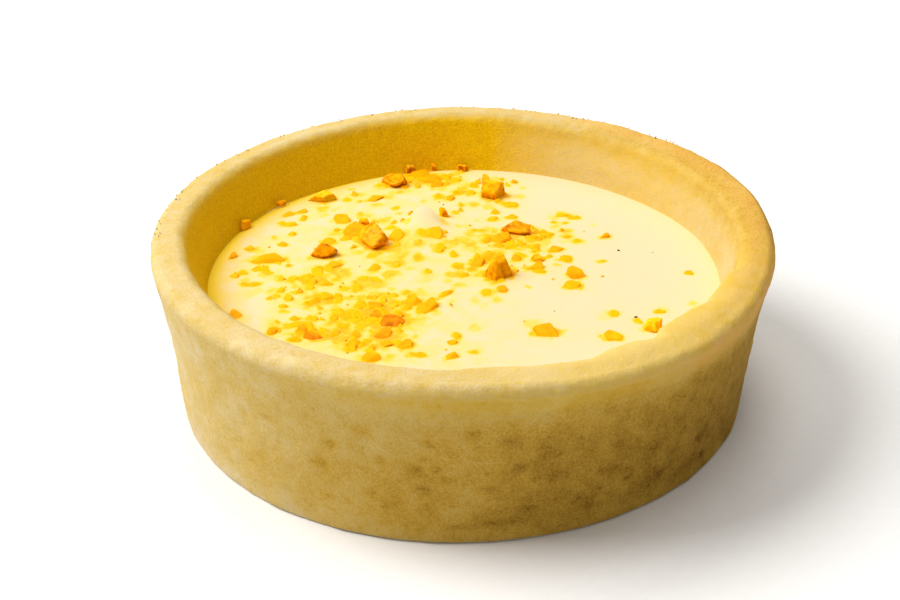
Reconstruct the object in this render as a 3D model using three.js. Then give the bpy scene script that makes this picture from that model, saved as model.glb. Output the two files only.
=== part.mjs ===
// Creme brulee tartlet: a ring-baked shortcrust case, 70 mm across its rim and 20 mm high, filled with set
// custard cream to 6 mm below the rim. One small soft peak stands behind the middle, where the last of the
// cream was lifted away. Millimetres, +Z up, the origin at the centre of the flat underside, and the front
// of the tartlet at -Y.

import * as THREE from "three";

const AROUND = 72; // facets round the case and round the cream

// Pastry case, outside
const HEIGHT = 20.4;
const RIM_RADIUS = 35;
const BASE_RADIUS = 32.8;
const BASE_ROUND = 0.5;
const WALL_HOLLOW = 0.35; // how far the outside wall curves in from a straight flare, halfway up
const RIM_ROUND_OUT = 1;
const RIM_ROUND_IN = 0.7;

// Pastry case, inside
const MOUTH_RADIUS = 31.3;
const FLOOR_RADIUS = 27.4;
const FLOOR_THICKNESS = 3.2;
const FLOOR_ROUND = 2.5;
const WALL_BEND = 1.9; // 1 is a straight inside wall, and more leans in mostly near the rim
const WALL_ROWS = 8; // facets up the outside wall, and up the inside wall

// The rim isn't quite level or round: waves per turn, height of the wave, and the angle of its first crest
const RIM_WAVES = [
  { perTurn: 1, height: 0.66, crest: 60 },
  { perTurn: 2, height: 0.22, crest: 31 },
  { perTurn: 3, height: 0.13, crest: 15 },
  { perTurn: 4, height: 0.14, crest: 7 },
];
const RIM_OVAL = 0.67; // added to the radius at the ends of the long axis, taken off at the short axis
const LONG_AXIS = -45;

// Cream
const CREAM_LEVEL = HEIGHT - 6;
const CREAM_EDGE_ROUND = 0.5;
const CLEARANCE = 0.3; // between the cream and the pastry
const CREAM_ROWS = 18;
const CREAM_ROW_SPREAD = 1.6; // 1 spaces the rows evenly, and more gathers them at the peak
const MOUND = { x: -4.8, y: 5.5, height: 0.5, radius: 7 };
const PEAK = { x: -4, y: 11.3, height: 2.2, radius: 1.7 };

const pastry = new THREE.MeshStandardMaterial({ color: 0xe3c083, roughness: 0.85, metalness: 0 });
const cream = new THREE.MeshStandardMaterial({ color: 0xfff0bf, roughness: 0.4, metalness: 0 });

// Radius of the case's outside wall at a height, from the base's rounding up to the rim's
function outsideRadius(z) {
  const rise = (z - BASE_ROUND) / (HEIGHT - RIM_ROUND_OUT - BASE_ROUND);
  return THREE.MathUtils.lerp(BASE_RADIUS, RIM_RADIUS, rise) - WALL_HOLLOW * Math.sin(Math.PI * rise);
}

// Radius of the case's inside wall at a height: it leans in most just under the rim
function insideRadius(z) {
  const rise = (z - FLOOR_THICKNESS) / (HEIGHT - FLOOR_THICKNESS);
  return THREE.MathUtils.lerp(FLOOR_RADIUS, MOUTH_RADIUS, rise ** WALL_BEND);
}

// Outline of the case's inside, from the middle of its floor up to a height, moved inwards by a gap
function insideOutline(top, gap) {
  const wallFoot = FLOOR_THICKNESS + FLOOR_ROUND;
  const floor = FLOOR_THICKNESS + gap;
  const outline = new THREE.Path();
  outline.moveTo(0, floor);
  outline.lineTo(FLOOR_RADIUS - FLOOR_ROUND, floor);
  outline.quadraticCurveTo(FLOOR_RADIUS - gap, floor, insideRadius(wallFoot) - gap, wallFoot);
  for (let row = 1; row <= WALL_ROWS; row++) {
    const z = THREE.MathUtils.lerp(wallFoot, top, row / WALL_ROWS);
    outline.lineTo(insideRadius(z) - gap, z);
  }
  return outline.getPoints(4);
}

// Outline of the case's outside, from the middle of the underside up and over the rim to its inside edge
function outsideOutline() {
  const rimFoot = HEIGHT - RIM_ROUND_OUT;
  const outline = new THREE.Path();
  outline.moveTo(0, 0);
  outline.lineTo(BASE_RADIUS - BASE_ROUND, 0);
  outline.absarc(BASE_RADIUS - BASE_ROUND, BASE_ROUND, BASE_ROUND, -Math.PI / 2, 0);
  for (let row = 1; row <= WALL_ROWS; row++) {
    const z = THREE.MathUtils.lerp(BASE_ROUND, rimFoot, row / WALL_ROWS);
    outline.lineTo(outsideRadius(z), z);
  }
  outline.absarc(RIM_RADIUS - RIM_ROUND_OUT, rimFoot, RIM_ROUND_OUT, 0, Math.PI / 2);
  outline.absarc(MOUTH_RADIUS + RIM_ROUND_IN, HEIGHT - RIM_ROUND_IN, RIM_ROUND_IN, Math.PI / 2, Math.PI);
  return outline.getPoints(2);
}

// Outline of the cream's top, from its rounded edge at the wall to its middle
function creamTopOutline() {
  const edge = insideRadius(CREAM_LEVEL) - CLEARANCE - CREAM_EDGE_ROUND;
  const outline = new THREE.Path();
  outline.absarc(edge, CREAM_LEVEL - CREAM_EDGE_ROUND, CREAM_EDGE_ROUND, 0, Math.PI / 2);
  for (let row = CREAM_ROWS - 1; row >= 0; row--) {
    outline.lineTo(edge * (row / CREAM_ROWS) ** CREAM_ROW_SPREAD, CREAM_LEVEL);
  }
  return outline.getPoints(2);
}

// Height of the uneven rim over its mean level at an angle in radians
function rimRise(angle) {
  let rise = 0;
  for (const wave of RIM_WAVES) {
    const crest = THREE.MathUtils.degToRad(wave.crest);
    rise += wave.height * Math.cos(wave.perTurn * (angle - crest));
  }
  return rise;
}

// Moves a point of the round, level form to where it lies on the uneven tartlet
function unevenRim(point) {
  const angle = Math.atan2(point.y, point.x);
  const longAxis = THREE.MathUtils.degToRad(LONG_AXIS);
  const oval = (RIM_OVAL / RIM_RADIUS) * Math.cos(2 * (angle - longAxis));
  const stretch = 1 + oval * (point.z / HEIGHT);
  const aboveCream = Math.max(0, (point.z - CREAM_LEVEL) / (HEIGHT - CREAM_LEVEL));
  point.x *= stretch;
  point.y *= stretch;
  point.z += rimRise(angle) * aboveCream;
}

// Height that a mound or peak adds at a place on the cream
function bump(shape, x, y) {
  const away = Math.hypot(x - shape.x, y - shape.y) / shape.radius;
  return shape.height * Math.exp(-away * away);
}

// Gathers the rows of the cream's top round the peak, and raises the mound and the peak
function heapCream(point) {
  const edge = insideRadius(CREAM_LEVEL) - CLEARANCE - CREAM_EDGE_ROUND;
  const inward = Math.max(0, 1 - Math.hypot(point.x, point.y) / edge);
  point.x += PEAK.x * inward;
  point.y += PEAK.y * inward;
  point.z += bump(MOUND, point.x, point.y) + bump(PEAK, point.x, point.y);
}

// Turns an outline about +Z and moves every vertex by a function
function turned(outline, move) {
  const geometry = new THREE.LatheGeometry(outline, AROUND);
  geometry.rotateX(Math.PI / 2);
  const position = geometry.getAttribute("position");
  const point = new THREE.Vector3();
  for (let i = 0; i < position.count; i++) {
    point.fromBufferAttribute(position, i);
    move(point);
    position.setXYZ(i, point.x, point.y, point.z);
  }
  geometry.computeVertexNormals();
  return geometry;
}

function pastryCase() {
  const inside = insideOutline(HEIGHT - RIM_ROUND_IN, 0).reverse();
  const geometry = turned([...outsideOutline(), ...inside.slice(1)], unevenRim);
  const mesh = new THREE.Mesh(geometry, pastry);
  mesh.name = "pastry_case";
  return mesh;
}

function creamFilling() {
  const side = insideOutline(CREAM_LEVEL - CREAM_EDGE_ROUND, CLEARANCE);
  const topFrom = CREAM_LEVEL - CREAM_EDGE_ROUND / 100;
  const geometry = turned([...side.slice(0, -1), ...creamTopOutline()], (point) => {
    const onTop = point.z > topFrom;
    unevenRim(point);
    if (onTop) {
      heapCream(point);
    }
  });
  const mesh = new THREE.Mesh(geometry, cream);
  mesh.name = "cream_filling";
  return mesh;
}

const group = new THREE.Group();
group.add(pastryCase(), creamFilling());

export default group;
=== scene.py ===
"""Looks of the creme brulee tartlet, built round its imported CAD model.

Fine meshes take the place of the faceted pastry case and cream. The crushed caramel, the vanilla specks
and the crumbs are too small for CAD and are made here. Lengths are in millimetres until a mesh is made.
Constant angles are in degrees about +Z from +X, and arrays called angles are in radians. The front is -Y.
"""

import math
from collections import namedtuple
from typing import NamedTuple

import bmesh
import bpy
import numpy as np
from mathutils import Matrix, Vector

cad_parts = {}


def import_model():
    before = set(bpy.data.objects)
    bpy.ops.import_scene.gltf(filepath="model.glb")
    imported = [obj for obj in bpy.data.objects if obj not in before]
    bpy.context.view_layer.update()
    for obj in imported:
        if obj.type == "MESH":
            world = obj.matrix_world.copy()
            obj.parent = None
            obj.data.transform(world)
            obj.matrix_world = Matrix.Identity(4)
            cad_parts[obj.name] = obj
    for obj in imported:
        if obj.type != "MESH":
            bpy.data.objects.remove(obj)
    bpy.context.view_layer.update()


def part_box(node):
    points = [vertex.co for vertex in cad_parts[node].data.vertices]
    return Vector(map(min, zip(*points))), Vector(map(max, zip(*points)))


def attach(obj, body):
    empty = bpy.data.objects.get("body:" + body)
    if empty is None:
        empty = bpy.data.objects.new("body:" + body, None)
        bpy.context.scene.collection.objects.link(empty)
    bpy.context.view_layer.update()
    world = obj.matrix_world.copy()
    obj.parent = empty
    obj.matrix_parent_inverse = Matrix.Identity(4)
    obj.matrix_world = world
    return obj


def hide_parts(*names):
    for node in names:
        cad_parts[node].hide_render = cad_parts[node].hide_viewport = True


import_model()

MM = 0.001  # metres in a millimetre

# ---- Pastry case, as in the CAD model, but with softer rounds at its rim ----
HEIGHT = 20.4
RIM_RADIUS = (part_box("pastry_case")[1].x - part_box("pastry_case")[0].x) / 2 / MM
BASE_RADIUS = 32.8
BASE_ROUND = 0.5
WALL_HOLLOW = 0.35
RIM_ROUND_WIDE = 1  # the outer edge of the rim is an elliptical round, this wide and tall
RIM_ROUND_TALL = 1.3
RIM_ROUND_IN = 1.4  # radius of the inner edge's round
MOUTH_RADIUS = 31.3
FLOOR_RADIUS = 27.4
FLOOR_THICKNESS = 3.2
FLOOR_ROUND = 2.5
WALL_BEND = 1.9
RIM_WAVES = ((1, 0.66, 60), (2, 0.22, 31), (3, 0.13, 15), (4, 0.14, 7))  # per turn, height, first crest
RIM_OVAL = 0.67  # added to the radius at the ends of the long axis, taken off at the short axis
LONG_AXIS = -45

# ---- Cream, as in the CAD model, with its peak and its folds in more detail ----
CREAM_LEVEL = HEIGHT - 6
CREAM_EDGE_DROP = 0.55  # how far the cream rolls down at the wall
CREAM_EDGE_WIDTH = 0.7
CREAM_IN_WALL = 0.12  # how far the cream reaches into the pastry, so that no gap shows
CREAM_DEPTH = 3  # below its level; deeper cream can't be seen

# ---- Fine meshes ----
CASE_AROUND = 640
CREAM_AROUND = 768
CREAM_STEP = 0.17
FULL_RING_RADIUS = 20  # rings wider than this have the full number of vertices
MOST_HALVINGS = 6  # the numbers above can be halved this often


# ---- Numbers and noise ----


def smoothstep(low, high, value):
    """0 at low and 1 at high, with a smooth rise between them. Low may be the greater of the two."""
    share = np.clip((value - low) / (high - low), 0, 1)
    return share * share * (3 - 2 * share)


def under_rim(z, low, high):
    """A smoothstep between two depths below the rim's mean height."""
    return smoothstep(HEIGHT - low, HEIGHT - high, z)


def columns(*parts):
    return np.stack(parts, axis=1)


def between(limits, share):
    return limits[0] + (limits[1] - limits[0]) * share


def cos_sin(degrees):
    angle = math.radians(degrees)
    return math.cos(angle), math.sin(angle)


def turn_from(middle, degrees):
    """How far round each angle is from the middle one, from -180 to 180."""
    return (degrees - middle + 180) % 360 - 180


def polar(points):
    """Each point's distance from the Z axis, and its angle about it in radians."""
    x, y = points[:, :2].T
    return np.hypot(x, y), np.arctan2(y, x)


def lattice_directions(cells, seed):
    """One of 256 unit directions for each lattice point, always the same one for a point and a seed."""
    rng = np.random.default_rng(seed)
    shuffled = rng.permutation(256)
    directions = rng.normal(size=(256, 3))
    directions /= np.linalg.norm(directions, axis=1)[:, None]
    index = shuffled[cells[:, 0] & 255]
    index = shuffled[(index + cells[:, 1]) & 255]
    index = shuffled[(index + cells[:, 2]) & 255]
    return directions[index]


def smooth_noise(points, feature, seed):
    """Gradient noise, about -1 to 1, at an array of points, with humps about one feature apart."""
    scaled = points / feature
    cells = np.floor(scaled).astype(np.int64)
    inside = scaled - cells
    fade = inside**3 * (inside * (inside * 6 - 15) + 10)
    total = np.zeros(len(points))
    for corner in np.ndindex(2, 2, 2):
        corner = np.array(corner)
        slope = (lattice_directions(cells + corner, seed) * (inside - corner)).sum(axis=1)
        weight = np.where(corner == 1, fade, 1 - fade).prod(axis=1)
        total += weight * slope
    return total * 1.6


class Waves(NamedTuple):
    """Random unevenness: its depth, how far apart its humps are, how many layers it has, and its seed."""

    depth: float
    feature: float
    layers: int
    seed: int

    def at(self, points):
        total = np.zeros(len(points))
        for layer in range(self.layers):
            total += smooth_noise(points, self.feature / 2**layer, self.seed + layer) / 2**layer
        return self.depth * total


class Sector(NamedTuple):
    """An amount over part of the way round: all of it up to near degrees from a middle, none at far."""

    amount: float
    middle: float
    near: float
    far: float

    def at(self, angles):
        turn = turn_from(self.middle, np.degrees(angles))
        return self.amount * smoothstep(self.far, self.near, np.abs(turn))


# ---- Meshes ----


def in_scene(name, data):
    """A new object with its data, linked to the scene."""
    made = bpy.data.objects.new(name, data)
    bpy.context.scene.collection.objects.link(made)
    return made


def new_object(name, points, faces, material):
    """A smooth mesh object from points in millimetres."""
    mesh = bpy.data.meshes.new(name)
    mesh.from_pydata((np.asarray(points) * MM).tolist(), [], faces)
    mesh.update()
    mesh.shade_smooth()
    mesh.materials.append(material)
    return in_scene(name, mesh)


def even_out(made, share):
    """Leans normals towards +Z by a share: light that soaks through evens out the shading of a slope."""
    mesh = made.data
    normals = np.zeros(3 * len(mesh.vertices), dtype=np.float32)
    mesh.vertices.foreach_get("normal", normals)
    normals = normals.reshape(-1, 3)
    lean = share * smoothstep(-0.5, 0.1, normals[:, 2:])
    normals = normals * (1 - lean) + np.array([0, 0, 1]) * lean
    mesh.normals_split_custom_set_from_vertices(normals / np.linalg.norm(normals, axis=1)[:, None])


def add_mask(made, name, values):
    """Stores one number from 0 to 1 for each vertex, which a material reads by name."""
    layer = made.data.attributes.new(name, "FLOAT", "POINT")
    layer.data.foreach_set("value", np.clip(values, 0, 1).astype(np.float32))


def faces_between(first, first_count, second, second_count):
    """Faces between two rings of vertices. One may have twice as many as the other, or be one point."""
    if first_count < second_count:
        return [face[::-1] for face in faces_between(second, second_count, first, first_count)]
    faces = []
    if second_count == 1:
        for k in range(first_count):
            faces.append((first + k, first + (k + 1) % first_count, second))
    elif first_count == second_count:
        for k in range(first_count):
            n = (k + 1) % first_count
            faces.append((first + k, first + n, second + n, second + k))
    else:
        for k in range(second_count):
            n = (k + 1) % second_count
            a, b, c = first + 2 * k, first + 2 * k + 1, first + (2 * k + 2) % first_count
            faces += [(a, b, second + k), (b, second + n, second + k), (b, c, second + n)]
    return faces


def ring_count(radius, most):
    """How many vertices a ring gets: the most if it is wide, half as many each time the radius halves."""
    if radius == 0:
        return 1
    halvings = math.ceil(math.log2(FULL_RING_RADIUS / radius))
    return most >> min(max(halvings, 0), MOST_HALVINGS)


def turned_surface(outline, most):
    """Points, faces and each point's row, of the surface that an outline sweeps about Z."""
    counts = [ring_count(radius, most) for radius, _ in outline]
    points, faces, rows = [], [], []
    start = 0
    for row, ((radius, height), count) in enumerate(zip(outline, counts)):
        angles = np.arange(count) * (2 * np.pi / count)
        points.append(columns(radius * np.cos(angles), radius * np.sin(angles), np.full(count, height)))
        rows.append(np.full(count, row))
        if row > 0:
            faces += faces_between(start - counts[row - 1], counts[row - 1], start, count)
        start += count
    return np.concatenate(points), faces, np.concatenate(rows)


# ---- Form of the case ----


def line(start, end, steps):
    share = np.linspace(0, 1, steps, endpoint=False)[:, None]
    return np.array(start) * (1 - share) + np.array(end) * share


def arc(centre, radii, start, end, steps):
    """Points along an elliptical arc with radii across and up."""
    angles = np.radians(np.linspace(start, end, steps, endpoint=False))
    return np.array(centre) + np.array(radii) * columns(np.cos(angles), np.sin(angles))


def outside_radius(z):
    rise = (z - BASE_ROUND) / (HEIGHT - RIM_ROUND_TALL - BASE_ROUND)
    return BASE_RADIUS + (RIM_RADIUS - BASE_RADIUS) * rise - WALL_HOLLOW * np.sin(np.pi * rise)


def inside_radius(z):
    rise = (z - FLOOR_THICKNESS) / (HEIGHT - FLOOR_THICKNESS)
    return FLOOR_RADIUS + (MOUTH_RADIUS - FLOOR_RADIUS) * rise**WALL_BEND


def inner_round():
    """Centre of the round at the rim's inner edge, and the angle at which it meets the inside wall."""
    lean = math.atan((MOUTH_RADIUS - FLOOR_RADIUS) * WALL_BEND / (HEIGHT - FLOOR_THICKNESS))
    end_height = HEIGHT - RIM_ROUND_IN * (1 - math.sin(lean))
    centre = (inside_radius(end_height) + RIM_ROUND_IN * math.cos(lean), HEIGHT - RIM_ROUND_IN)
    return centre, 180 - math.degrees(lean)


def outer_outline():
    """The case's section from the middle of its underside, up its wall, to the middle of the rim's top."""
    wall = np.linspace(BASE_ROUND, HEIGHT - RIM_ROUND_TALL, 73, endpoint=False)
    crest = RIM_RADIUS - RIM_ROUND_WIDE
    rim_middle = (crest + inner_round()[0][0]) / 2
    return np.concatenate([
        line((0, 0), (BASE_RADIUS - BASE_ROUND, 0), 14),
        arc((BASE_RADIUS - BASE_ROUND, BASE_ROUND), (BASE_ROUND, BASE_ROUND), -90, 0, 4),
        columns(outside_radius(wall), wall),
        arc((crest, HEIGHT - RIM_ROUND_TALL), (RIM_ROUND_WIDE, RIM_ROUND_TALL), 0, 90, 20),
        line((crest, HEIGHT), (rim_middle, HEIGHT), 3),
    ])


def inner_outline():
    """The case's section from the middle of the rim's top, down its inside, to the middle of the floor."""
    centre, round_end = inner_round()
    rim_middle = (RIM_RADIUS - RIM_ROUND_WIDE + centre[0]) / 2
    wall_top = HEIGHT - RIM_ROUND_IN * (1 - math.sin(math.radians(round_end)))
    last_seen = CREAM_LEVEL - 0.8
    seen = np.linspace(wall_top, last_seen, 24)
    buried = np.linspace(last_seen, FLOOR_THICKNESS + FLOOR_ROUND, 4)[1:]
    wall = np.concatenate([seen, buried])
    return np.concatenate([
        line((rim_middle, HEIGHT), (centre[0], HEIGHT), 3),
        arc(centre, (RIM_ROUND_IN, RIM_ROUND_IN), 90, round_end, 10),
        columns(inside_radius(wall), wall),
        line((FLOOR_RADIUS - 0.5, FLOOR_THICKNESS + 1), (FLOOR_RADIUS - FLOOR_ROUND, FLOOR_THICKNESS), 2),
        line((FLOOR_RADIUS - FLOOR_ROUND, FLOOR_THICKNESS), (0, FLOOR_THICKNESS), 4),
        [(0, FLOOR_THICKNESS)],
    ])


def outward(outline, rows, angles):
    """The direction that points out of the surface at each of its points."""
    along = np.gradient(outline, axis=0)
    normal = columns(along[:, 1], -along[:, 0])
    normal = (normal / np.linalg.norm(normal, axis=1)[:, None])[rows]
    return columns(normal[:, 0] * np.cos(angles), normal[:, 0] * np.sin(angles), normal[:, 1])


def rim_rise(angles):
    waves = [height * np.cos(turns * (angles - math.radians(crest))) for turns, height, crest in RIM_WAVES]
    return sum(waves)


def uneven_rim(points):
    """Moves points of the round, level form to where they lie on the uneven tartlet."""
    angles = polar(points)[1]
    oval = RIM_OVAL / RIM_RADIUS * np.cos(2 * (angles - math.radians(LONG_AXIS)))
    stretch = 1 + oval * points[:, 2] / HEIGHT
    above = np.maximum(0, (points[:, 2] - CREAM_LEVEL) / (HEIGHT - CREAM_LEVEL))
    moved = points.copy()
    moved[:, :2] *= stretch[:, None]
    moved[:, 2] += rim_rise(angles) * above
    return moved


# ---- Pastry case ----

CASE_BULGES = Waves(0.13, 10, 2, 21)
CASE_DENTS = Waves(0.07, 2.8, 2, 31)
CASE_GRAIN = Waves(0.022, 0.8, 1, 41)
RIM_LUMPS = Waves(0.05, 1.5, 2, 43)
EDGE_WANDER = Waves(2.5, 3, 1, 72)  # in degrees
EDGE_UNEVEN = Waves(0.12, 3.4, 3, 71)
MOTTLE = Waves(0.045, 5, 3, 81)
FLOUR_AND_HIGHLIGHT_PATCHES = Waves(1, 3, 2, 91)
LOW_WAVES = (1, 1, 1.6)  # waves at points times this are less tall than wide
UPRIGHT_WAVES = (1, 1, 0.2)  # and at points times this they hardly change with height

PIT_DEPTH = 0.18
PIT_COUNT = 520
PIT_HIGHEST = 17.5
PIT_SEED = 11
EDGE_WIDTH = 1.1  # of the rim's broken inner edge, which stands further in at these ledges
LEDGES = (
    Sector(0.3, -84, 3, 7), Sector(0.7, -60, 3, 7), Sector(1.2, -44, 4.2, 9.8), Sector(0.8, -29, 4.2, 9.8),
)

WIDER_INSIDE = Sector(0.018, 0, 12, 45)  # a share of the inside's radius
LEAST_SLOPE = 0.15  # how far the rim slopes down to the outside, in millimetres
SLOPED_OUT = Sector(0.55, -40, 15, 50)
SLOPED_IN = Sector(0.7, 20, 25, 65)

# Sectors of the case's colours, each with how strong its colour is there
SHADY_SIDE = -40  # the angle at which the outside wall is painted darkest: painted shade, with some toasting
LEAST_TOAST = 0.04
TOASTED_RIM = Sector(0.34, 5, 25, 75)
TOASTED_RIGHT = Sector(0.12, 5, 0, 60)
# Painted shade: the inside wall at the left is painted browner and less golden.
PAINTED_SHADE_LEFT = Sector(1, 180, 20, 60)
# Gold is partly the crust's own colour and partly painted light: the inside wall brighter and yellower where
# the cream lights it, and a golden band under the rim's edge.
LEAST_GOLD = 0.1
GOLDEN_BACK = Sector(0.9, 143, 47, 84)
GOLDEN_RIGHT = Sector(0.3, 60, 20, 55)
GOLDEN_FRONT = Sector(0.24, -60, 35, 75)
# Painted highlight: the crest of the rim at the front right is painted paler and more golden.
LIT_CROWN = Sector(1, -48, 20, 45)
WARM_RIM = Sector(0.14, 22, 20, 85)
# Painted light: the band under the rim at the right is painted lighter and more orange.
PAINTED_LIGHT_WALL = Sector(0.3, -15, 15, 60)
# Flour and painted highlight: pale patches along the outer crest at the front and left.
FLOURED_AND_LIT = Sector(1, -110, 20, 80)


# A pit in the outside wall: its place, its half width and half height, and its depth from 0 to 1
Pit = namedtuple("Pit", "angle z wide tall deep")

# The deepest pits of the front, as the photograph shows them
FRONT_PITS = [Pit(*row) for row in (
    (-132, 10.9, 0.5, 0.45, 0.7), (-126, 11.7, 0.9, 0.45, 0.8), (-121, 15.5, 0.5, 0.4, 0.4),
    (-113, 11.1, 0.75, 0.5, 1), (-115.5, 8.5, 0.8, 0.6, 0.7), (-106.5, 13.5, 0.7, 0.7, 0.6),
    (-104, 10.1, 0.7, 0.7, 0.8), (-98, 9.3, 0.9, 0.7, 0.8), (-95.5, 12.9, 1, 0.6, 0.9),
    (-96.5, 10.7, 0.7, 0.5, 0.9), (-93, 8.3, 0.8, 0.5, 0.6), (-97, 6.9, 0.8, 0.5, 0.9),
    (-82, 13.1, 1.1, 0.7, 0.8), (-80.5, 9.5, 0.8, 0.6, 1), (-85.5, 6.9, 0.8, 0.7, 0.6),
    (-79, 4.2, 1, 0.4, 0.8), (-76.5, 10.7, 0.9, 0.7, 0.6), (-73.5, 7.9, 1.2, 0.7, 0.7),
    (-91, 2.2, 1.5, 0.4, 0.8), (-84, 2.6, 1.6, 0.4, 0.7), (-62.5, 9.9, 0.9, 0.7, 0.5),
    (-38, 7.9, 0.3, 0.3, 0.9), (-39.5, 2.5, 0.3, 0.45, 1),
)]


def random_pits(rng):
    """Pits all round the outside wall, more of them in its lower two thirds, wider than they are tall."""
    pits = []
    for _ in range(PIT_COUNT):
        wide = rng.uniform(0.25, 0.75)
        pits.append(Pit(
            angle=rng.uniform(-180, 180),
            z=PIT_HIGHEST * rng.beta(1.5, 2),
            wide=wide,
            tall=wide * rng.uniform(0.6, 1),
            deep=0.6 * rng.uniform(0.2, 1) ** 2,
        ))
    return pits


def pit_depth(points, angles, pits):
    """How deep in a pit each point is, from 0 to 1."""
    depth = np.zeros(len(points))
    degrees = np.degrees(angles)
    for pit in pits:
        across = np.radians(turn_from(pit.angle, degrees)) * BASE_RADIUS
        up = points[:, 2] - pit.z
        near = (np.abs(across) < 2.5 * pit.wide) & (np.abs(up) < 2.5 * pit.tall)
        away = (across[near] / pit.wide) ** 2 + (up[near] / pit.tall) ** 2
        depth[near] = np.maximum(depth[near], pit.deep * np.exp(-away))
    return depth


def shoulder(points, angles):
    """How far the rim slopes down: outwards most at the front right, and inwards at the right."""
    radius = polar(points)[0]
    outwards = (LEAST_SLOPE + SLOPED_OUT.at(angles)) * smoothstep(RIM_RADIUS - 3, RIM_RADIUS - 0.3, radius)
    inwards = SLOPED_IN.at(angles) * smoothstep(RIM_RADIUS - 0.8, MOUTH_RADIUS - 0.4, radius)
    return (outwards + inwards) * under_rim(points[:, 2], 5, 1)


def rim_ledges(points, angles):
    """How far the inner edge of the rim stands in: at its ledges, and elsewhere a little."""
    upright = points * UPRIGHT_WAVES
    wandering = angles + np.radians(EDGE_WANDER.at(upright))
    reach = EDGE_UNEVEN.at(upright)
    for ledge in LEDGES:
        reach += ledge.at(wandering)
    edge = np.exp(-(((polar(points)[0] - MOUTH_RADIUS) / EDGE_WIDTH) ** 2))
    return reach * edge * under_rim(points[:, 2], 3.2, 0.9)


def pastry_case(material):
    outer = outer_outline()
    outline = np.concatenate([outer, inner_outline()])
    points, faces, rows = turned_surface(outline, CASE_AROUND)
    angles = polar(points)[1]
    z = points[:, 2]
    outside = (rows < len(outer)) * smoothstep(0.05, 0.4, z)
    inside = (rows >= len(outer)) * smoothstep(CREAM_LEVEL - 1.5, CREAM_LEVEL - 1, z)
    wall = outside * under_rim(z, 1.5, 4)
    pits = [*FRONT_PITS, *random_pits(np.random.default_rng(PIT_SEED))]
    pit = wall * pit_depth(points, angles, pits)

    push = CASE_BULGES.at(points) * (outside + inside)
    push += CASE_DENTS.at(points * LOW_WAVES) * (wall + 0.45 * (outside + inside - wall))
    push += CASE_GRAIN.at(points) * (outside + 0.5 * inside)
    push += RIM_LUMPS.at(points) * under_rim(z, 2, 1)
    push -= PIT_DEPTH * pit
    masks = pastry_masks(points, angles, outside, inside, pit)
    points = points + outward(outline, rows, angles) * push[:, None]
    points[:, :2] *= 1 - (rim_ledges(points, angles) / MOUTH_RADIUS)[:, None]
    points[:, :2] *= 1 + (WIDER_INSIDE.at(angles) * inside * smoothstep(HEIGHT + 1, CREAM_LEVEL, z))[:, None]
    points[:, 2] -= shoulder(points, angles)
    points[:, 2] = np.maximum(points[:, 2], 0)
    made = new_object("pastry_crust", uneven_rim(points), faces, material)
    for name, values in masks.items():
        add_mask(made, name, values)
    return made


def wall_toast_and_shade(points, angles, band, pit):
    """Toast and painted shade of the outside wall: painted shade darkest at its shady side and lower down,
    mottled toast, darker pits and a paler foot.
    """
    z = points[:, 2]
    shady = (0.5 + 0.5 * np.cos(angles - math.radians(SHADY_SIDE))) ** 1.4
    # Painted shade: darker towards the shady side, and more so lower down the wall.
    toast_and_shade = LEAST_TOAST + shady * (0.24 + 0.36 * under_rim(z, 1, 7) + 0.14 * smoothstep(HEIGHT - 1.5, 2, z))
    return toast_and_shade + MOTTLE.at(points) + 0.22 * pit - 0.12 * smoothstep(3, 0.5, z) + 0.14 * band


def rim_toast_and_shade(points, angles, inside, left):
    """How toasted the rim and the inside wall are: on top most at the right; lower down, the inside wall is
    painted darker at the left, which is painted shade.
    """
    lip = inside * smoothstep(MOUTH_RADIUS + 0.7, MOUTH_RADIUS - 0.2, polar(points)[0])
    top = under_rim(points[:, 2], 3.5, 0.3)
    on_top = 0.16 + TOASTED_RIM.at(angles) * (1 - 0.45 * lip)
    lower = TOASTED_RIGHT.at(angles) + 0.72 * left
    return LEAST_TOAST + on_top * top + lower * (1 - top)


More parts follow.
